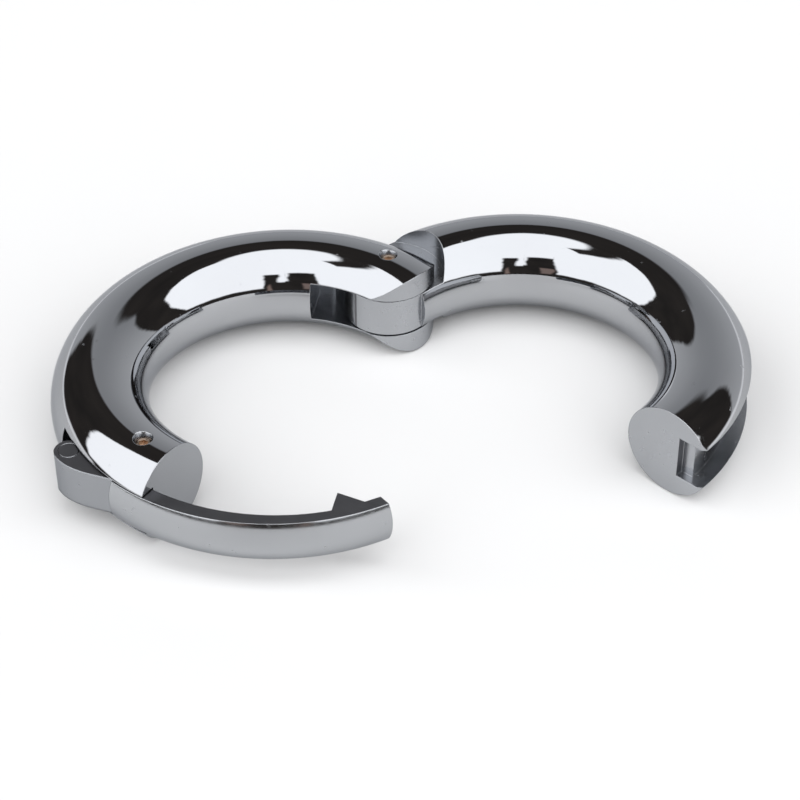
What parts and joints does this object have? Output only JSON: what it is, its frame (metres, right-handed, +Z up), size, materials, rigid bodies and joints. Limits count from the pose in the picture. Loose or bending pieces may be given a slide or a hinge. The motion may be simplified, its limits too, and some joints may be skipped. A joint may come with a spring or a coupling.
{
  "type": "hinged ring handcuff",
  "caption": "Chromed round-bar wrist cuff of two hinged half rings with a sprung, hooked latch lever, lying open.",
  "frame": {"origin": "centre of the open cuff's box, on the surface it lies on", "axes": "+Z up along both pivot pins, +X from the half with the latch lever to the other half, +Y to the hinge side"},
  "size_m": [0.1432, 0.1004, 0.02],
  "materials": {
    "chrome_plate": "mirror polished plating",
    "lever_chrome": "bright plating, satin on its flat top",
    "pin_brass": "worn plating over brass",
    "spring_steel": "drawn wire"
  },
  "bodies": {
    "left_half": {"left_ring_half": "chrome_plate", "hinge_pin": "pin_brass", "lever_pin": "pin_brass", "lever_spring": "spring_steel"},
    "right_half": {"right_ring_half": "chrome_plate"},
    "latch": {"latch_lever": "lever_chrome"}
  },
  "joints": [
    {"name": "cuff_hinge", "type": "hinge", "parent": "left_half", "child": "right_half", "pos_m": [-0.00276, 0.02885, 0.01], "axis": [0, 0, -1], "range_deg": [-13.5, 80.2]},
    {"name": "latch_pivot", "type": "hinge", "parent": "left_half", "child": "latch", "pos_m": [-0.05005, -0.0305, 0.01], "axis": [0, 0, -1], "range_deg": [0, 18], "stiffness_Nm_per_rad": 0.15, "springref_deg": -22.92, "deforming": ["lever_spring"]}
  ]
}
